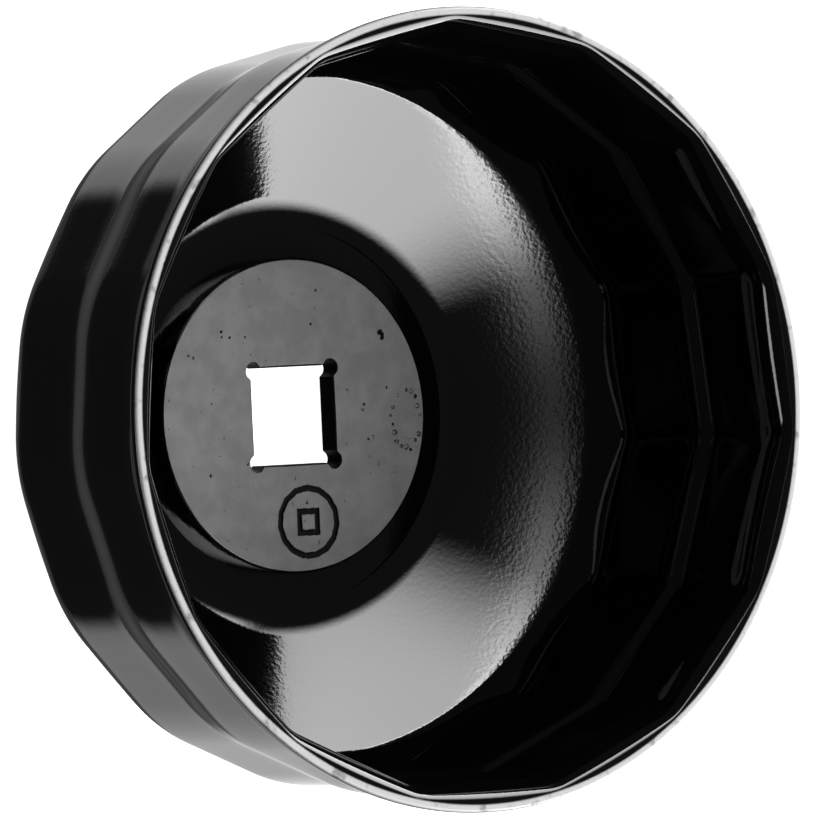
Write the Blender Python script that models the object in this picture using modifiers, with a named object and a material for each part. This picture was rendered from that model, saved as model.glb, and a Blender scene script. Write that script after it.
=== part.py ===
"""Cup oil filter wrench: a pressed cup with two rows of 15 flats and a spot-welded drive plate.

Metres, +Z up. The origin is the centre of the cup's underside, and the mouth faces +Z.
"""
from math import atan2, cos, hypot, pi, radians, sin, sqrt, tan

import bmesh
import bpy

# The cup
FLATS = 15                      # flats in each row
DEEP_ACROSS = 0.0740            # across the inner flats, deep row
UPPER_ACROSS = 0.0760           # across the inner flats, row nearest the mouth
SHEET = 0.0012                  # sheet thickness
MOUTH_R = 0.0413                # outer radius of the round mouth
MOUTH_EDGE = 0.00105            # width of the edge at the mouth, at a flat
MOUTH_WAVE = 0.4                # how much of the flats' shape its inner side keeps
HEIGHT = 0.0366                 # underside to mouth
INNER_EDGE_R = 0.0050           # radius of the upright edges between flats, inside
OUTER_EDGE_R = 0.0180           # and outside
BEND_R = 0.0080                 # inner radius of the bend from the flat floor to the dome
BEND_SLOPE = radians(24)        # slope where the bend ends
DOME_R = 0.2510                 # inner radius of the shallow dome around the flat floor
DOME_SLOPE = radians(27)        # slope where the dome ends
CORNER_R = 0.0042               # inner radius of the corner from the dome to the wall
PRESS_LOW = radians(38)         # the flats start at this slope
PRESS_FULL = radians(75)        # and are full from this one
STEP_INNER = (0.0230, 0.0244)   # from height to height, the crisp step inside
STEP_OUTER = (0.0195, 0.0250)   # the soft step outside
FLARE_LOW = 0.0325              # the mouth starts to flare here
LAND = 0.0006                   # upright edge at the mouth, outside
CLEARANCE_R = 0.0090            # round opening in the floor, behind the drive hole

# The drive plate
PLATE_R = 0.0164
PLATE_STAND = 0.0025            # its face above the floor
PLATE_EDGE = 0.0003             # its rounded edge
DRIVE = 0.0101                  # square hole, wall to wall, for a 3/8 in drive
RELIEF_R = 0.0009               # round relief in the square's corners
RELIEF_AT = 0.0047              # its centre from the square's centre, both ways

# The engraved mark on the plate: a square in a ring with as many sides as the cup
MARK_X = 0.0111
MARK_Y = 0.0012
MARK_RING_R = 0.0038
MARK_SQUARE_R = 0.0019          # centre to corner
MARK_LINE = 0.0005
MARK_DEPTH = 0.00025

# The spot welds
WELDS = 4
WELD_RING_R = 0.0130            # their distance from the axis
WELD_R = 0.0022                 # radius of a fused slug
WELD_LOW = 0.00015              # its outer end, in the dent that the electrode left
WELD_IN_PLATE = 0.0009          # how far it reaches into the plate

# Clearances and facets
GAP = 0.0003                    # kept between touching solids
PAST = 0.0010                   # how far a cutter runs past a face
MERGE = 0.00001
STEPS_PER_FLAT = 6
BEND_STEPS = 3
DOME_STEPS = 2
CORNER_STEPS = 5
FLARE_STEPS = 4
PLATE_STEPS = 72
WELD_STEPS = 24
RELIEF_STEPS = 16

FLAT_TURN = 2 * pi / FLATS
DEEP_R = DEEP_ACROSS / 2
CORNER_H = (SHEET + BEND_R + (DOME_R - BEND_R) * cos(BEND_SLOPE)
            - (DOME_R - CORNER_R) * cos(DOME_SLOPE))
PLATE_LOW = SHEET + GAP
PLATE_TOP = SHEET + PLATE_STAND
WELD_TOP = PLATE_LOW + WELD_IN_PLATE


def clear_scene():
    for old in list(bpy.data.objects):
        bpy.data.objects.remove(old, do_unlink=True)


def collection(name):
    group = bpy.data.collections.new(name)
    bpy.context.scene.collection.children.link(group)
    return group


def material(name, colour, roughness, metallic):
    made = bpy.data.materials.new(name)
    made.use_nodes = True
    shader = made.node_tree.nodes["Principled BSDF"]
    shader.inputs["Base Color"].default_value = (*colour, 1)
    shader.inputs["Roughness"].default_value = roughness
    shader.inputs["Metallic"].default_value = metallic
    made.diffuse_color = (*colour, 1)
    return made


def add_object(name, mesh, group):
    made = bpy.data.objects.new(name, mesh)
    group.objects.link(made)
    return made


def finish(made, surface, sharp_degrees):
    made.data.materials.append(surface)
    made.data.shade_smooth()
    made.data.set_sharp_from_angle(angle=radians(sharp_degrees))


def turned(name, profile, steps, group):
    """A closed profile of (radius, height) points, outer side first and downwards, turned once."""
    mesh = bpy.data.meshes.new(name)
    count = len(profile)
    edges = [(i, (i + 1) % count) for i in range(count)]
    mesh.from_pydata([(radius, 0, height) for radius, height in profile], edges, [])
    blank = add_object(name, mesh, group)
    screw = blank.modifiers.new("Turn", "SCREW")
    screw.steps = steps
    screw.render_steps = steps
    screw.use_merge_vertices = True
    screw.merge_threshold = MERGE
    bpy.context.view_layer.update()
    graph = bpy.context.evaluated_depsgraph_get()
    solid = bpy.data.meshes.new_from_object(blank.evaluated_get(graph))
    bpy.data.objects.remove(blank, do_unlink=True)
    return add_object(name, solid, group)


def cylinder(name, radius, low, high, steps, group):
    mesh = bpy.data.meshes.new(name)
    shape = bmesh.new()
    bmesh.ops.create_cone(shape, cap_ends=True, segments=steps, radius1=radius, radius2=radius,
                          depth=high - low)
    shape.to_mesh(mesh)
    shape.free()
    made = add_object(name, mesh, group)
    made.location.z = (low + high) / 2
    return made


def square_bar(name, width, low, high, group):
    mesh = bpy.data.meshes.new(name)
    shape = bmesh.new()
    bmesh.ops.create_cube(shape, size=1)
    bmesh.ops.scale(shape, vec=(width, width, high - low), verts=shape.verts)
    shape.to_mesh(mesh)
    shape.free()
    made = add_object(name, mesh, group)
    made.location.z = (low + high) / 2
    return made


def cut(body, cutter):
    cutter.hide_render = True
    cutter.display_type = "WIRE"
    made = body.modifiers.new(cutter.name, "BOOLEAN")
    made.operation = "DIFFERENCE"
    made.solver = "EXACT"
    made.object = cutter


def ease(value, low, high):
    share = min(max((value - low) / (high - low), 0), 1)
    return share * share * (3 - 2 * share)


def flare_share(height, inner):
    """0 below the flare, 1 at the mouth: a soft bend outside, a trumpet inside."""
    if not inner:
        return ease(height, FLARE_LOW, HEIGHT - LAND)
    rise = min(max((height - FLARE_LOW) / (HEIGHT - FLARE_LOW), 0), 1)
    return 1 - sqrt(1 - rise * rise)


def flat_reach(height, inner):
    """Distance from the axis to the middle of a flat, on the inner or outer side of the wall."""
    sheet = 0 if inner else SHEET
    mouth = MOUTH_R - MOUTH_EDGE if inner else MOUTH_R
    step = STEP_INNER if inner else STEP_OUTER
    wall = DEEP_R + sheet + (UPPER_ACROSS - DEEP_ACROSS) / 2 * ease(height, *step)
    return wall + (mouth - wall) * flare_share(height, inner)


def flat_factor(angle, inner):
    """Reach of the wall at an angle over its reach at the middle of a flat."""
    half = FLAT_TURN / 2
    turn = abs((angle + half) % FLAT_TURN - half)
    edge = INNER_EDGE_R if inner else OUTER_EDGE_R
    if DEEP_R * tan(turn) <= (DEEP_R - edge) * tan(half):
        return 1 / cos(turn)
    centre = (DEEP_R - edge) / cos(half)
    off = half - turn
    return (centre * cos(off) + sqrt(edge ** 2 - (centre * sin(off)) ** 2)) / DEEP_R


def bottom_arcs():
    """Inner radius, centre (radius, height), first and last slope and steps of each arc."""
    corner = (DEEP_R - CORNER_R, CORNER_H)
    reach = DOME_R - CORNER_R
    dome = (corner[0] - reach * sin(DOME_SLOPE), corner[1] + reach * cos(DOME_SLOPE))
    reach = DOME_R - BEND_R
    bend = (dome[0] + reach * sin(BEND_SLOPE), dome[1] - reach * cos(BEND_SLOPE))
    yield BEND_R, bend, 0, BEND_SLOPE, BEND_STEPS
    yield DOME_R, dome, BEND_SLOPE, DOME_SLOPE, DOME_STEPS
    yield CORNER_R, corner, DOME_SLOPE, pi / 2, CORNER_STEPS


def side_profile(inner):
    """Up one side of the sheet: (radius, height, share of the flats' shape, inner)."""
    floor = SHEET if inner else 0
    points = [(CLEARANCE_R, floor, 0, inner)]
    for radius, centre, first, last, steps in bottom_arcs():
        radius += SHEET - floor
        for i in range(steps):
            slope = first + (last - first) * i / steps
            points.append((centre[0] + radius * sin(slope), centre[1] - radius * cos(slope),
                           ease(slope, PRESS_LOW, PRESS_FULL), inner))
    low, high = STEP_INNER if inner else STEP_OUTER
    levels = [CORNER_H, low, (low + high) / 2, high, FLARE_LOW]
    rise = HEIGHT - FLARE_LOW - (0 if inner else LAND)
    levels += [FLARE_LOW + rise * sin(pi / 2 * i / FLARE_STEPS) for i in range(1, FLARE_STEPS + 1)]
    if not inner:
        levels.append(HEIGHT)
    kept = MOUTH_WAVE if inner else 0
    for level in levels:
        share = 1 - (1 - kept) * flare_share(level, inner)
        points.append((flat_reach(level, inner), level, share, inner))
    return points


def press_flats(mesh, profile):
    """Push the turned wall out between the flats; the floor and the mouth stay round."""
    for vertex in mesh.vertices:
        x, y, z = vertex.co
        radius = hypot(x, y)
        nearest = min(profile, key=lambda point: hypot(point[0] - radius, point[1] - z))
        share, inner = nearest[2:]
        factor = 1 + (flat_factor(atan2(y, x), inner) - 1) * share
        vertex.co = (x * factor, y * factor, z)


def weld_places():
    for i in range(WELDS):
        turn = 2 * pi * i / WELDS
        yield i + 1, WELD_RING_R * cos(turn), WELD_RING_R * sin(turn)


def build_cup(parts, cutters, surface):
    profile = side_profile(False)[::-1] + side_profile(True)
    outline = [(radius, height) for radius, height, share, inner in profile]
    cup = turned("fluted_cup", outline, FLATS * STEPS_PER_FLAT, parts)
    press_flats(cup.data, profile)
    finish(cup, surface, 50)
    for number, x, y in weld_places():
        pocket = cylinder(f"cup_weld_pocket_{number}", WELD_R + GAP, -PAST, SHEET + GAP / 2,
                          WELD_STEPS, cutters)
        pocket.location.x = x
        pocket.location.y = y
        cut(cup, pocket)


def cut_drive_hole(plate, cutters):
    low = PLATE_LOW - PAST
    high = PLATE_TOP + PAST
    cut(plate, square_bar("drive_square", DRIVE, low, high, cutters))
    for x in (-RELIEF_AT, RELIEF_AT):
        for y in (-RELIEF_AT, RELIEF_AT):
            relief = cylinder("drive_relief", RELIEF_R, low, high, RELIEF_STEPS, cutters)
            relief.location.x = x
            relief.location.y = y
            cut(plate, relief)


def cut_mark(plate, cutters):
    low = PLATE_TOP - MARK_DEPTH
    high = PLATE_TOP + PAST
    for name, sides, radius in (("mark_ring", FLATS, MARK_RING_R), ("mark_square", 4, MARK_SQUARE_R)):
        inside = radius - MARK_LINE / cos(pi / sides)
        profile = [(radius, high), (radius, low), (inside, low), (inside, high)]
        groove = turned(name, profile, sides, cutters)
        groove.location = (MARK_X, MARK_Y, 0)
        groove.rotation_euler.z = pi / sides
        cut(plate, groove)


def build_plate(parts, cutters, surface):
    plate = cylinder("drive_plate", PLATE_R, PLATE_LOW, PLATE_TOP, PLATE_STEPS, parts)
    finish(plate, surface, 30)
    bevel = plate.modifiers.new("Rounded edge", "BEVEL")
    bevel.width = PLATE_EDGE
    bevel.segments = 2
    bevel.limit_method = "ANGLE"
    cut_drive_hole(plate, cutters)
    for number, x, y in weld_places():
        pocket = cylinder(f"plate_weld_pocket_{number}", WELD_R + GAP, PLATE_LOW - PAST,
                          WELD_TOP + GAP, WELD_STEPS, cutters)
        pocket.location.x = x
        pocket.location.y = y
        cut(plate, pocket)
    cut_mark(plate, cutters)


def build_welds(parts, surface):
    for number, x, y in weld_places():
        slug = cylinder(f"spot_weld_{number}", WELD_R, WELD_LOW, WELD_TOP, WELD_STEPS, parts)
        slug.location.x = x
        slug.location.y = y
        finish(slug, surface, 30)


def build():
    clear_scene()
    parts = collection("oil_filter_wrench")
    cutters = collection("cutters")
    build_cup(parts, cutters, material("gloss_black_paint", (0.012, 0.012, 0.013), 0.14, 0))
    build_plate(parts, cutters, material("satin_black_paint", (0.06, 0.06, 0.062), 0.45, 0))
    build_welds(parts, material("weld_metal", (0.09, 0.09, 0.09), 0.5, 1))


build()
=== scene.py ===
"""Looks of a cup oil filter wrench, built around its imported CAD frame.

Metres, +Z up, the cup stands on its floor with the mouth up. A fine cup and drive plate, with
their paint, engraved mark, pits and weld dents, stand for the CAD's plain solids.
"""
from math import cos, pi, radians, sin, sqrt

import bpy
from mathutils import Matrix, Vector
import numpy as np


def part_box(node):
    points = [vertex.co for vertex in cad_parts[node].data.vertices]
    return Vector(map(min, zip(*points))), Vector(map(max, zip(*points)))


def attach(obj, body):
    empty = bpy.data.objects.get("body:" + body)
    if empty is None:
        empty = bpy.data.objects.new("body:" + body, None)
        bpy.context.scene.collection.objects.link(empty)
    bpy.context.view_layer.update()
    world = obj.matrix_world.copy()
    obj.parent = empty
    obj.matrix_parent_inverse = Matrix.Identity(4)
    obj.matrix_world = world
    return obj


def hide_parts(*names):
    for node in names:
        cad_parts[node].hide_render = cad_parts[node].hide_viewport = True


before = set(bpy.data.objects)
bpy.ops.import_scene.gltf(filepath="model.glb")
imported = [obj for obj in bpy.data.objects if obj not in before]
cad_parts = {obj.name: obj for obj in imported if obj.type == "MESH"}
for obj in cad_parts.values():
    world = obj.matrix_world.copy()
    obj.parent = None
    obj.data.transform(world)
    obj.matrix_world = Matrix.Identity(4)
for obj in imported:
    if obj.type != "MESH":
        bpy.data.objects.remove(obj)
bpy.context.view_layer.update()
CUP_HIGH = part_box("fluted_cup")[1]
PLATE_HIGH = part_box("drive_plate")[1]

MM = 0.001

# The cup's sizes, in millimetres
FLATS = 15
DEEP_R = 37.0                   # axis to an inner flat, deep row
UPPER_R = 38.0                  # axis to an inner flat, row nearest the mouth
SHEET = 1.2                     # sheet thickness
MOUTH_R = CUP_HIGH.x / MM
MOUTH_EDGE = 1.05               # width of the rim's end face, at a flat
MOUTH_WAVE = 0.4                # how much of the flats' shape its inner side keeps
HEIGHT = CUP_HIGH.z / MM
INNER_EDGE_R = 5.0              # upright edges between flats, inside
OUTER_EDGE_R = 18.0             # and outside
BEND_R = 8.0                    # from the flat floor to the shallow dome around it
BEND_SLOPE = radians(24)
DOME_R = 251.0
DOME_SLOPE = radians(27)
CORNER_R = 4.2                  # from the dome to the wall
PRESS_SLOPES = (radians(38), radians(75))       # the flats start and are full at these slopes
STEP_INNER = (23.0, 24.4)       # from height to height, inside
STEP_OUTER = (19.5, 25.0)       # and outside
FLARE_LOW = 32.5                # the mouth starts to flare here
LAND = 0.6                      # upright edge at the mouth, outside
CLEARANCE_R = 9.0               # round opening in the floor
EDGE_ROUND = 0.2                # rounding of the opening's edges
RIM_ROUND = 0.42                # rounding of the rim's outer edge
CREASE_R = 20.0                 # a fine press line round the floor
CREASE_DEPTH = 0.02
CREASE_WIDTH = 0.12
WELD_RING_R = 13.0
WELD_DENTS = 4
DENT_R = (1.8, 2.4)             # a dent's flat bottom, and its edge
DENT_DEPTH = 0.15

# The drive plate's sizes, in millimetres
PLATE_R = PLATE_HIGH.x / MM
PLATE_TOP = PLATE_HIGH.z / MM
PLATE_EDGE = 0.35               # its rounded edge
HOLE_EDGE = 0.3                 # rounding of the square hole's edge
DRIVE_HALF = 5.05               # centre to a wall of the square hole
RELIEF_R = 0.9                  # round relief in the square's corners
RELIEF_AT = 4.7                 # its centre from the square's centre, both ways
MARK = (11.1, 1.2)              # centre of the engraved mark
MARK_RING_R = 3.8
MARK_SQUARE = 1.343             # centre to side
MARK_LINE = 0.5
MARK_SIDE = 0.06                # half the width of a line's sloping side
MARK_DEPTH = 0.25

# The pits in the plate's face, in millimetres: chance picks each value between its two limits
CHANCE = 15
WELD_MARK = (0.8, 13.9)         # centre of the electrode's oval mark
WELD_MARK_X = 2.95
WELD_MARK_Y = 1.75
WELD_PIT_TURN = 0.33            # radians from pit to pit
WELD_PIT_REACH = (-0.16, 0.10)
WELD_PIT_R = (0.14, 0.34)
WELD_PIT_DEPTH = (0.03, 0.11)
DEEP_PIT = (-7.9, 11.2)         # several pits run together here
DEEP_PIT_PARTS = 5
DEEP_PIT_X = (-0.45, 0.45)
DEEP_PIT_Y = (-0.25, 0.25)
DEEP_PIT_R = (0.18, 0.32)
DEEP_PIT_DEPTH = 0.22
LONE_PITS = 16
LONE_PIT_REACH = (7.5, 15.5)
LONE_PIT_R = (0.08, 0.16)
LONE_PIT_DEPTH = 0.10
PIT_BOTTOM = 0.4                # a pit's flat bottom, as a share of its radius

# Facets
CUP_STEPS = FLATS * 24
FLOOR_RINGS = 44
BEND_RINGS = 48
DOME_RINGS = 16
CORNER_RINGS = 20
DEEP_RINGS = 6
STEP_RINGS = 13
UPPER_RINGS = 5
FLARE_RINGS = 17
RIM_STEPS = 8
OPENING_STEPS = 4
PLATE_STEPS = 960
PLATE_ROWS = 110
PLATE_EDGE_STEPS = 6
HOLE_EDGE_STEPS = 5
SHARP = radians(40)

# The paints: grey levels, roughness, and noise as (scale, detail)
GLOSS_GREY = 0.0014
GLOSS_ROUGHNESS = 0.05
GLOSS_PEEL = ((2200, 3), 0.05)  # orange peel: its noise and strength
BUMP_DISTANCE = 0.0001
RIM_HIGHLIGHT_HEIGHT = (HEIGHT - 0.34, HEIGHT - 0.01)    # the rim's end face gets a painted highlight between these heights
RIM_HIGHLIGHT_R = (MOUTH_R - 0.95, MOUTH_R - 0.70)       # and between these radii
# the rim's painted highlight: its mottle noise, patch levels, greys and roughness
RIM_HIGHLIGHT_NOISE = (700, 6)
RIM_HIGHLIGHT_PATCHES = (0.30, 0.46)
RIM_HIGHLIGHT_GREYS = (0.20, 0.42)
RIM_HIGHLIGHT_ROUGHNESS = 0.42
# painted shade in the plate's hole, on its rounded edge, in the engraved lines and in the deeper
# pits
HOLLOW_SHADE_GREYS = (0.002, 0.006)
EDGE_NOISE = (900, 3)
EDGE_ROUGHNESS = 0.6
EDGE_SPECULAR = 0.12
SATIN_GREYS = (0.155, 0.20)
SATIN_NOISE = (420, 5)
SATIN_PATCHES = (0.30, 0.70)
SATIN_ROUGHNESS = 0.5
SATIN_BUMPS = ((1300, 4), 0.3)
SPECK_GREY = 0.05
SPECK_NOISE = (1500, 2)
SPECK_LEVEL = (0.70, 0.76)
FACE_NORMAL = 0.95              # the satin face is where the surface is this level
FACE_DEPTH = 0.1                # and no deeper than this
SIDE_WIDTH = 1.2                # the plate's gloss side, in widths of its rounded edge

# The studio's light by direction: each pair of numbers is a soft edge along an axis
STUDIO_SIDE = (0, 0.828, 0.561)
STUDIO_UP = (-1, 0, 0)
LEVEL = (0, 1, 0)
SKYWARD = (0, 0, 1)
AMBIENT = 0.05
LIT_AMBIENT = 0.04              # more, on the panels' side
PANEL_EDGE = (0.268, 0.276)     # the panels and the glow end at this side
PANEL_CURVE = 0.40              # how far their edge bends away above and below
PANEL_CURL = 0.25               # and how much more further out
LOW_PANEL = 11.0
LOW_START = (-0.33, -0.60)
HIGH_PANEL = 9.6
HIGH_START = (0.42, 0.67)
PANEL_END = (0.62, 0.75)        # the panels' far ends reach nearer to the middle
END_START = (0.10, 0.19)
END_MIDDLE = (0, 0.1)
GLOW = 0.75                     # beside the panels' edge, from the middle
GLOW_CURVE = 26.0               # and rising above and below
GLOW_WIDTH = 0.055
BACKDROP = 1.05                 # from below the horizon, far from the cup
TABLE = 0.13                    # and near it
BACKDROP_TOP = (-0.2, -0.5)
BACKDROP_SIDE = (-0.27, -0.12)
TABLE_EDGE = (-0.90, -0.85)
BACK_PANEL = 1.6
BACK_PANEL_SIDE = (0.30, 0.60)
BACK_PANEL_TOP = (0.15, 0.0)
BACK_PANEL_LOW = (-0.5, -0.3)
LAMP = (0.174, -0.984, 0.035)
LAMP_EDGE = (0.988, 0.996)
LAMP_LIGHT = 6.0

# The floor, in metres
FLOOR_HALF = 12.0
FLOOR_DROP = 0.0002
FLOOR_LIGHT = 1.1

# The camera
CAMERA_TILT = radians(34.1)     # off the cup's axis
CAMERA_TURN = radians(-0.875)
CAMERA_ROLL = radians(1.94)
CAMERA_LEFT = 6.358             # its aim from the mouth's centre, in millimetres
CAMERA_DOWN = 0.109
CAMERA_AWAY = 2.051             # metres
CAMERA_LENS = 879
CAMERA_SENSOR = 36
CAMERA_CLIP = (0.1, 30)

FLAT_TURN = 2 * pi / FLATS
CORNER_H = (SHEET + BEND_R + (DOME_R - BEND_R) * cos(BEND_SLOPE)
            - (DOME_R - CORNER_R) * cos(DOME_SLOPE))


def ease(value, low, high):
    share = np.clip((value - low) / (high - low), 0, 1)
    return share * share * (3 - 2 * share)


def quarter(steps):
    return np.linspace(0, pi / 2, steps + 1)


def grid_piece(name, rings, surface):
    """A piece from closed rings of points, with the last ring joined to the first."""
    points = np.concatenate(rings) * MM
    steps = len(rings[0])
    count = len(rings)
    faces = []
    for row in range(count):
        low = row * steps
        high = (row + 1) % count * steps
        for i in range(steps):
            j = (i + 1) % steps
            faces.append((low + i, low + j, high + j, high + i))
    mesh = bpy.data.meshes.new(name)
    mesh.from_pydata(points.tolist(), [], faces)
    mesh.validate()
    mesh.materials.append(surface)
    mesh.shade_smooth()
    piece = bpy.data.objects.new(name, mesh)
    bpy.context.scene.collection.objects.link(piece)
    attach(piece, "root")
    return piece


# ---------------------------------------------------------------- the cup's shape
def flare_share(height, inner):
    """0 below the flare, 1 at the mouth: a soft bend outside, a trumpet inside."""
    if not inner:
        return ease(height, FLARE_LOW, HEIGHT - LAND)
    rise = np.clip((height - FLARE_LOW) / (HEIGHT - FLARE_LOW), 0, 1)
    return 1 - np.sqrt(1 - rise * rise)


def flat_reach(height, inner):
    """Axis to the middle of a flat."""
    sheet = 0 if inner else SHEET
    mouth = MOUTH_R - MOUTH_EDGE if inner else MOUTH_R
    step = STEP_INNER if inner else STEP_OUTER
    wall = DEEP_R + sheet + (UPPER_R - DEEP_R) * ease(height, *step)
    return wall + (mouth - wall) * flare_share(height, inner)


def flat_factor(angle, inner):
    """Reach at an angle over the reach at the middle of a flat."""
    half = FLAT_TURN / 2
    turn = np.abs((angle + half) % FLAT_TURN - half)
    edge = INNER_EDGE_R if inner else OUTER_EDGE_R
    centre = (DEEP_R - edge) / cos(half)
    off = half - turn
    rounded = centre * np.cos(off) + np.sqrt(edge ** 2 - (centre * np.sin(off)) ** 2)
    flat = DEEP_R * np.tan(turn) <= (DEEP_R - edge) * np.tan(half)
    return np.where(flat, 1 / np.cos(turn), rounded / DEEP_R)


def flat_ring(angles, radius, height):
    return np.stack([radius * np.cos(angles), radius * np.sin(angles),
                     np.full_like(angles, height)], 1)


def pressed_ring(angles, reach, height, share, inner):
    """A ring with a share of the flats' shape."""
    return flat_ring(angles, reach * (1 + (flat_factor(angles, inner) - 1) * share), height)


def underside_dents(x, y):
    """How far the welding electrodes pressed the underside in."""
    depth = np.zeros_like(x)
    for i in range(WELD_DENTS):
        turn = 2 * pi * i / WELD_DENTS
        away = np.hypot(x - WELD_RING_R * cos(turn), y - WELD_RING_R * sin(turn))
        depth += DENT_DEPTH * (1 - ease(away, *DENT_R))
    return depth


def bottom_arcs():
    """Inner radius, centre (radius, height), first and last slope and rings of each arc."""
    corner = (DEEP_R - CORNER_R, CORNER_H)
    reach = DOME_R - CORNER_R
    dome = (corner[0] - reach * sin(DOME_SLOPE), corner[1] + reach * cos(DOME_SLOPE))
    reach = DOME_R - BEND_R
    bend = (dome[0] + reach * sin(BEND_SLOPE), dome[1] - reach * cos(BEND_SLOPE))
    yield BEND_R, bend, 0, BEND_SLOPE, BEND_RINGS
    yield DOME_R, dome, BEND_SLOPE, DOME_SLOPE, DOME_RINGS
    yield CORNER_R, corner, DOME_SLOPE, pi / 2, CORNER_RINGS


def floor_rings(angles, flat_end, inner):
    rings = []
    for radius in np.linspace(CLEARANCE_R + EDGE_ROUND, flat_end, FLOOR_RINGS)[:-1]:
        ring = flat_ring(angles, radius, SHEET if inner else 0.0)
        if not inner:
            ring[:, 2] += underside_dents(ring[:, 0], ring[:, 1])
        rings.append(ring)
    return rings


def arc_rings(angles, arc, inner):
    radius, centre, first, last, count = arc
    if not inner:
        radius += SHEET
    rings = []
    for slope in np.linspace(first, last, count + 1)[:-1]:
        reach = centre[0] + radius * sin(slope)
        height = centre[1] - radius * cos(slope)
        if inner:
            height -= CREASE_DEPTH * np.exp(-((reach - CREASE_R) / CREASE_WIDTH) ** 2)
        share = float(ease(slope, *PRESS_SLOPES))
        rings.append(pressed_ring(angles, reach, height, share, inner))
    return rings


def wall_rings(angles, inner):
    low, high = STEP_INNER if inner else STEP_OUTER
    top = HEIGHT if inner else HEIGHT - LAND
    deep = np.linspace(CORNER_H, low, DEEP_RINGS)[:-1]
    step = np.linspace(low, high, STEP_RINGS)
    upper = np.linspace(high, FLARE_LOW, UPPER_RINGS)[1:-1]
    flare = FLARE_LOW + (top - FLARE_LOW) * np.sin(quarter(FLARE_RINGS - 1))
    kept = MOUTH_WAVE if inner else 0
    rings = []
    for height in np.concatenate([deep, step, upper, flare]):
        share = 1 - (1 - kept) * float(flare_share(height, inner))
        reach = float(flat_reach(height, inner))
        rings.append(pressed_ring(angles, reach, height, share, inner))
    return rings


def side_rings(angles, inner):
    """Rings up one side of the sheet, close together where it bends."""
    arcs = list(bottom_arcs())
    bend_centre = arcs[0][1]
    rings = floor_rings(angles, bend_centre[0], inner)
    for arc in arcs:
        rings += arc_rings(angles, arc, inner)
    return rings + wall_rings(angles, inner)


def cup_rings():
    """Up the outside, over the rim, down the inside, and round the opening's edges."""
    angles = np.arange(CUP_STEPS) * 2 * pi / CUP_STEPS
    rings = side_rings(angles, False)
    for turn in quarter(RIM_STEPS):
        rings.append(flat_ring(angles, MOUTH_R - RIM_ROUND * (1 - cos(turn)),
                               HEIGHT - RIM_ROUND * (1 - sin(turn))))
    rings += side_rings(angles, True)[::-1]
    for turn in quarter(OPENING_STEPS)[1:]:
        rings.append(flat_ring(angles, CLEARANCE_R + EDGE_ROUND * (1 - sin(turn)),
                               SHEET - EDGE_ROUND * (1 - cos(turn))))
    for turn in quarter(OPENING_STEPS)[:-1]:
        rings.append(flat_ring(angles, CLEARANCE_R + EDGE_ROUND * (1 - cos(turn)),
                               EDGE_ROUND * (1 - sin(turn))))
    return rings


# ---------------------------------------------------------------- the plate's shape
def hole_reach(angles):
    """Axis to the edge of the square hole, with its round reliefs in the corners."""
    across = np.maximum(np.abs(np.cos(angles)), np.abs(np.sin(angles)))
    square = DRIVE_HALF / across
    off = (angles % (pi / 2)) - pi / 4
    centre = RELIEF_AT * sqrt(2)
    beside = centre * np.sin(off)
    lobe = centre * np.cos(off) + np.sqrt(np.clip(RELIEF_R ** 2 - beside ** 2, 0, None))
    lobe = np.where(np.abs(beside) < RELIEF_R, lobe, 0)
    return np.maximum(square, lobe)


def groove(off):
    """1 in a line of the mark and 0 beside it, by distance from the line's middle."""
    return ease(np.abs(off), MARK_LINE / 2 + MARK_SIDE, MARK_LINE / 2 - MARK_SIDE)


def mark_depth(x, y):
    """A square in a ring with as many sides as the cup."""
    x = x - MARK[0]
    y = y - MARK[1]
    half = pi / FLATS
    turn = (np.arctan2(y, x) + half) % (2 * half) - half
    ring = np.hypot(x, y) * np.cos(turn) - MARK_RING_R * cos(half) + MARK_LINE / 2
    square = np.maximum(np.abs(x), np.abs(y)) - MARK_SQUARE + MARK_LINE / 2
    return MARK_DEPTH * np.maximum(groove(ring), groove(square))


def pits():
    """Centre, radius and depth of each small pit in the plate's face."""
    chance = np.random.default_rng(CHANCE)
    for turn in np.arange(0, 2 * pi, WELD_PIT_TURN):
        reach = 1 + chance.uniform(*WELD_PIT_REACH)
        yield (WELD_MARK[0] + WELD_MARK_X * reach * cos(turn),
               WELD_MARK[1] + WELD_MARK_Y * reach * sin(turn),
               chance.uniform(*WELD_PIT_R), chance.uniform(*WELD_PIT_DEPTH))
    for i in range(DEEP_PIT_PARTS):
        yield (DEEP_PIT[0] + chance.uniform(*DEEP_PIT_X), DEEP_PIT[1] + chance.uniform(*DEEP_PIT_Y),
               chance.uniform(*DEEP_PIT_R), DEEP_PIT_DEPTH)
    for i in range(LONE_PITS):
        turn = chance.uniform(0, 2 * pi)
        reach = chance.uniform(*LONE_PIT_REACH)
        yield reach * cos(turn), reach * sin(turn), chance.uniform(*LONE_PIT_R), LONE_PIT_DEPTH


def face_depth(x, y):
    """How far the plate's face is cut or pitted below its top."""
    depth = mark_depth(x, y)
    for pit_x, pit_y, radius, deep in pits():
        away = np.hypot(x - pit_x, y - pit_y)
        depth = np.maximum(depth, deep * ease(away, radius, radius * PIT_BOTTOM))
    return depth


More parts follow.
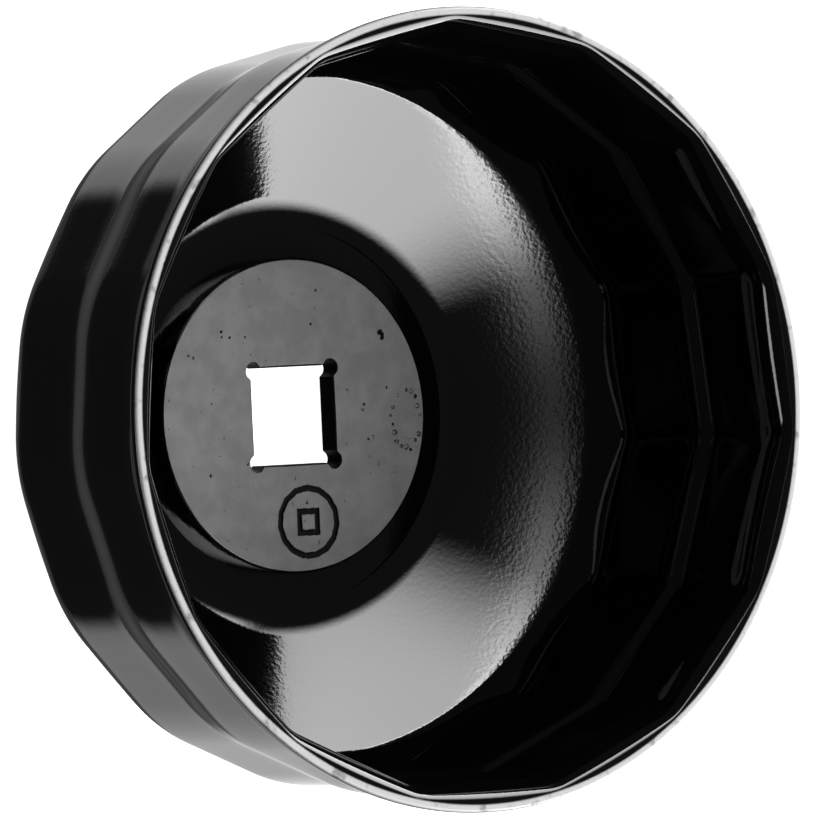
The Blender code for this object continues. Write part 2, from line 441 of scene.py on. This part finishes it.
def plate_rings():
    """From the back of the hole out to the side, and in over the face to the hole's edge."""
    angles = np.arange(PLATE_STEPS) * 2 * pi / PLATE_STEPS
    hole = hole_reach(angles)
    face_r = PLATE_R - PLATE_EDGE
    rings = [flat_ring(angles, hole, SHEET), flat_ring(angles, PLATE_R, SHEET)]
    for turn in quarter(PLATE_EDGE_STEPS):
        rings.append(flat_ring(angles, PLATE_R - PLATE_EDGE * (1 - cos(turn)),
                               PLATE_TOP - PLATE_EDGE * (1 - sin(turn))))
    for share in np.linspace(0, 1, PLATE_ROWS)[1:]:
        ring = flat_ring(angles, face_r * (1 - share) + (hole + HOLE_EDGE) * share, PLATE_TOP)
        ring[:, 2] -= face_depth(ring[:, 0], ring[:, 1])
        rings.append(ring)
    for turn in quarter(HOLE_EDGE_STEPS)[1:]:
        rings.append(flat_ring(angles, hole + HOLE_EDGE * (1 - sin(turn)),
                               PLATE_TOP - HOLE_EDGE * (1 - cos(turn))))
    return rings


# ---------------------------------------------------------------- materials
class Nodes:
    """Short ways to add nodes to a tree."""

    def __init__(self, tree):
        self.tree = tree
        self.coords = tree.nodes.new("ShaderNodeTexCoord")

    def plug(self, value, socket):
        """Link an output to a socket, or give the socket a plain value."""
        if isinstance(value, bpy.types.NodeSocket):
            self.tree.links.new(value, socket)
        else:
            socket.default_value = value

    def math(self, kind, first, second):
        node = self.tree.nodes.new("ShaderNodeMath")
        node.operation = kind
        self.plug(first, node.inputs[0])
        self.plug(second, node.inputs[1])
        return node.outputs[0]

    def add(self, first, second):
        return self.math("ADD", first, second)

    def times(self, first, second):
        return self.math("MULTIPLY", first, second)

    def vector_math(self, kind, first, second=None):
        node = self.tree.nodes.new("ShaderNodeVectorMath")
        node.operation = kind
        self.plug(first, node.inputs[0])
        if second is not None:
            self.plug(second, node.inputs[1])
        return node

    def ramp(self, value, start, end, low_result=0.0, high_result=1.0):
        """A soft change of result while the value goes from start to end."""
        node = self.tree.nodes.new("ShaderNodeMapRange")
        node.interpolation_type = "SMOOTHSTEP"
        for name, number in (("From Min", start), ("From Max", end),
                             ("To Min", low_result), ("To Max", high_result)):
            node.inputs[name].default_value = number
        self.plug(value, node.inputs["Value"])
        return node.outputs["Result"]


class Paint(Nodes):
    """A painted surface, with noise and bumps at the object's own scale."""

    def __init__(self, name):
        self.material = bpy.data.materials.new(name)
        self.material.use_nodes = True
        super().__init__(self.material.node_tree)
        self.shader = self.tree.nodes["Principled BSDF"]
        self.place = self.coords.outputs["Object"]

    def set(self, socket, value):
        self.plug(value, self.shader.inputs[socket])

    def noise(self, scale, detail):
        node = self.tree.nodes.new("ShaderNodeTexNoise")
        node.inputs["Scale"].default_value = scale
        node.inputs["Detail"].default_value = detail
        self.plug(self.place, node.inputs["Vector"])
        return node.outputs["Fac"]

    def height(self):
        node = self.tree.nodes.new("ShaderNodeSeparateXYZ")
        self.plug(self.place, node.inputs["Vector"])
        return node.outputs["Z"]

    def reach(self):
        """Distance from the axis."""
        flat = self.vector_math("MULTIPLY", self.place, (1, 1, 0))
        return self.vector_math("LENGTH", flat.outputs["Vector"]).outputs["Value"]

    def mix(self, share, first, second):
        """A blend of two colours, each a grey level or a colour socket."""
        node = self.tree.nodes.new("ShaderNodeMix")
        node.data_type = "RGBA"
        self.plug(share, node.inputs["Factor"])
        colours = [socket for socket in node.inputs if socket.type == "RGBA"]
        for socket, colour in zip(colours, (first, second)):
            self.plug((colour, colour, colour, 1) if isinstance(colour, float) else colour, socket)
        return next(socket for socket in node.outputs if socket.type == "RGBA")

    def bumps(self, noise, strength):
        node = self.tree.nodes.new("ShaderNodeBump")
        node.inputs["Strength"].default_value = strength
        node.inputs["Distance"].default_value = BUMP_DISTANCE
        self.plug(self.noise(*noise), node.inputs["Height"])
        self.set("Normal", node.outputs["Normal"])


def gloss_paint():
    """Deep gloss black, with a painted highlight of mottled light grey on the rim's end face."""
    paint = Paint("gloss_black_paint")
    # painted highlight: the rim's end face is painted a mottled light grey
    rim_highlight = paint.times(paint.ramp(paint.height(), RIM_HIGHLIGHT_HEIGHT[0] * MM, RIM_HIGHLIGHT_HEIGHT[1] * MM),
                       paint.ramp(paint.reach(), RIM_HIGHLIGHT_R[0] * MM, RIM_HIGHLIGHT_R[1] * MM))
    highlight_mottle = paint.mix(paint.ramp(paint.noise(*RIM_HIGHLIGHT_NOISE), *RIM_HIGHLIGHT_PATCHES), *RIM_HIGHLIGHT_GREYS)
    paint.set("Base Color", paint.mix(rim_highlight, GLOSS_GREY, highlight_mottle))
    paint.set("Roughness", paint.ramp(rim_highlight, 0, 1, GLOSS_ROUGHNESS, RIM_HIGHLIGHT_ROUGHNESS))
    paint.bumps(*GLOSS_PEEL)
    return paint.material


def hollow_shade_paint():
    """Dull black of the punched hole's walls and of the engraved lines, painted shade there, on the
    hole's rounded edge and in the deeper pits.
    """
    paint = Paint("painted_shade_hollows")
    paint.set("Roughness", EDGE_ROUGHNESS)
    paint.set("Specular IOR Level", EDGE_SPECULAR)
    paint.set("Base Color", paint.mix(paint.noise(*EDGE_NOISE), *HOLLOW_SHADE_GREYS))
    return paint.material


def satin_paint():
    """Thin satin black over the plate's blanked face, with a fine mottle."""
    paint = Paint("satin_black_paint")
    mottle = paint.mix(paint.ramp(paint.noise(*SATIN_NOISE), *SATIN_PATCHES), *SATIN_GREYS)
    specks = paint.ramp(paint.noise(*SPECK_NOISE), *SPECK_LEVEL)
    paint.set("Base Color", paint.mix(specks, mottle, SPECK_GREY))
    paint.set("Roughness", SATIN_ROUGHNESS)
    paint.bumps(*SATIN_BUMPS)
    return paint.material


def paint_plate_sides(piece, side_paint, hollow_shade):
    """Keep satin on the plate's level face only."""
    piece.data.materials.append(side_paint)
    piece.data.materials.append(hollow_shade)
    for polygon in piece.data.polygons:
        if polygon.normal.z < FACE_NORMAL or polygon.center.z < (PLATE_TOP - FACE_DEPTH) * MM:
            reach = polygon.center.to_2d().length
            outside = reach > (PLATE_R - SIDE_WIDTH * PLATE_EDGE) * MM
            # the hole, its edge, the engraved lines and the pits get the painted shade; the plate's
            # outer side gets the cup's gloss black
            polygon.material_index = 1 if outside else 2


# ---------------------------------------------------------------- stage, light and camera
def build_floor():
    """A white table that the camera sees and the paint doesn't mirror."""
    mesh = bpy.data.meshes.new("studio_floor")
    corners = [(-FLOOR_HALF, -FLOOR_HALF, 0), (FLOOR_HALF, -FLOOR_HALF, 0),
               (FLOOR_HALF, FLOOR_HALF, 0), (-FLOOR_HALF, FLOOR_HALF, 0)]
    mesh.from_pydata(corners, [], [(0, 1, 2, 3)])
    floor = bpy.data.objects.new("studio_floor", mesh)
    floor.location.z = -FLOOR_DROP
    bpy.context.scene.collection.objects.link(floor)
    surface = bpy.data.materials.new("studio_white")
    surface.use_nodes = True
    shader = surface.node_tree.nodes["Principled BSDF"]
    shader.inputs["Base Color"].default_value = (0.8, 0.8, 0.8, 1)
    shader.inputs["Roughness"].default_value = 0.9
    shader.inputs["Specular IOR Level"].default_value = 0
    shader.inputs["Emission Color"].default_value = (1, 1, 1, 1)
    shader.inputs["Emission Strength"].default_value = FLOOR_LIGHT
    mesh.materials.append(surface)
    floor.visible_glossy = False
    floor.visible_diffuse = False
    floor.visible_shadow = False


class Sky(Nodes):
    """The light from each direction."""

    def along(self, axis):
        node = self.vector_math("DOT_PRODUCT", self.coords.outputs["Generated"], axis)
        return node.outputs["Value"]

    def panels(self, up, level, spread, lit):
        """A bright panel below and one above."""
        total = self.add(self.times(lit, LIT_AMBIENT), AMBIENT)
        end = self.times(self.ramp(level, *PANEL_END), self.ramp(spread, *END_START))
        for start, panel, way in ((LOW_START, LOW_PANEL, -1), (HIGH_START, HIGH_PANEL, 1)):
            this_end = self.times(end, self.ramp(self.times(up, way), *END_MIDDLE))
            share = self.math("MAXIMUM", self.ramp(up, *start), this_end)
            total = self.add(total, self.times(self.times(lit, share), panel))
        return total

    def glow(self, bent, spread, lit):
        """A thin glow along the panels' edge."""
        near_edge = self.ramp(bent, PANEL_EDGE[1] + GLOW_WIDTH, PANEL_EDGE[0])
        shape = self.times(self.times(near_edge, near_edge), lit)
        return self.times(shape, self.add(self.times(spread, GLOW_CURVE), GLOW))

    def backdrop(self, level, high):
        below = self.times(self.ramp(high, *BACKDROP_TOP), self.ramp(level, *BACKDROP_SIDE))
        far = self.times(self.ramp(high, *TABLE_EDGE), BACKDROP - TABLE)
        return self.times(below, self.add(far, TABLE))

    def back_panel(self, level, high):
        behind = self.times(self.ramp(level, *BACK_PANEL_SIDE), self.ramp(high, *BACK_PANEL_TOP))
        return self.times(self.times(behind, self.ramp(high, *BACK_PANEL_LOW)), BACK_PANEL)

    def light(self):
        side = self.along(STUDIO_SIDE)
        up = self.along(STUDIO_UP)
        level = self.along(LEVEL)
        high = self.along(SKYWARD)
        spread = self.times(up, up)
        bend = self.times(spread, self.add(self.times(spread, PANEL_CURL), PANEL_CURVE))
        bent = self.math("SUBTRACT", side, bend)
        lit = self.ramp(bent, *PANEL_EDGE)
        total = self.panels(up, level, spread, lit)
        total = self.add(total, self.glow(bent, spread, lit))
        total = self.add(total, self.backdrop(level, high))
        total = self.add(total, self.back_panel(level, high))
        lamp = self.times(self.ramp(self.along(LAMP), *LAMP_EDGE), LAMP_LIGHT)
        return self.add(total, lamp)


def build_world():
    """Soft panels beside the table, with a dark front. The camera itself sees plain white."""
    world = bpy.data.worlds.new("studio")
    bpy.context.scene.world = world
    world.use_nodes = True
    sky = Sky(world.node_tree)
    nodes = world.node_tree.nodes
    light = nodes["Background"]
    light.inputs["Color"].default_value = (1, 1, 1, 1)
    sky.plug(sky.light(), light.inputs["Strength"])
    seen = nodes.new("ShaderNodeBackground")
    seen.inputs["Color"].default_value = (1, 1, 1, 1)
    path = nodes.new("ShaderNodeLightPath")
    mix = nodes.new("ShaderNodeMixShader")
    sky.plug(path.outputs["Is Camera Ray"], mix.inputs["Fac"])
    sky.plug(light.outputs["Background"], mix.inputs[1])
    sky.plug(seen.outputs["Background"], mix.inputs[2])
    sky.plug(mix.outputs["Shader"], nodes["World Output"].inputs["Surface"])


def build_camera():
    """A long lens off the cup's axis, turned so that the mouth faces right."""
    towards = Vector((sin(CAMERA_TURN) * sin(CAMERA_TILT), -cos(CAMERA_TURN) * sin(CAMERA_TILT),
                      cos(CAMERA_TILT)))
    rise = (Vector((0, 0, 1)) - towards * towards.z).normalized()
    side = towards.cross(rise)
    right = rise * cos(CAMERA_ROLL) - side * sin(CAMERA_ROLL)
    up = rise * sin(CAMERA_ROLL) + side * cos(CAMERA_ROLL)
    aim = Vector((0, 0, HEIGHT)) * MM - (right * CAMERA_LEFT + up * CAMERA_DOWN) * MM
    data = bpy.data.cameras.new("camera")
    data.sensor_width = CAMERA_SENSOR
    data.lens = CAMERA_LENS
    data.clip_start, data.clip_end = CAMERA_CLIP
    camera = bpy.data.objects.new("camera", data)
    bpy.context.scene.collection.objects.link(camera)
    turned = Matrix((right, up, towards)).transposed().to_4x4()
    camera.matrix_world = Matrix.Translation(aim + towards * CAMERA_AWAY) @ turned
    bpy.context.scene.camera = camera


gloss_black = gloss_paint()
satin_black = satin_paint()
cup = grid_piece("cup_shell", cup_rings(), gloss_black)
plate = grid_piece("plate_disc", plate_rings(), satin_black)
paint_plate_sides(plate, gloss_black, hollow_shade_paint())
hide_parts("fluted_cup", "spot_weld_1", "spot_weld_2", "spot_weld_3", "spot_weld_4")
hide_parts("drive_plate")
for edged in (cup, plate):
    edged.data.set_sharp_from_angle(angle=SHARP)
build_floor()
build_world()
build_camera()
bpy.context.scene.view_settings.view_transform = "Standard"
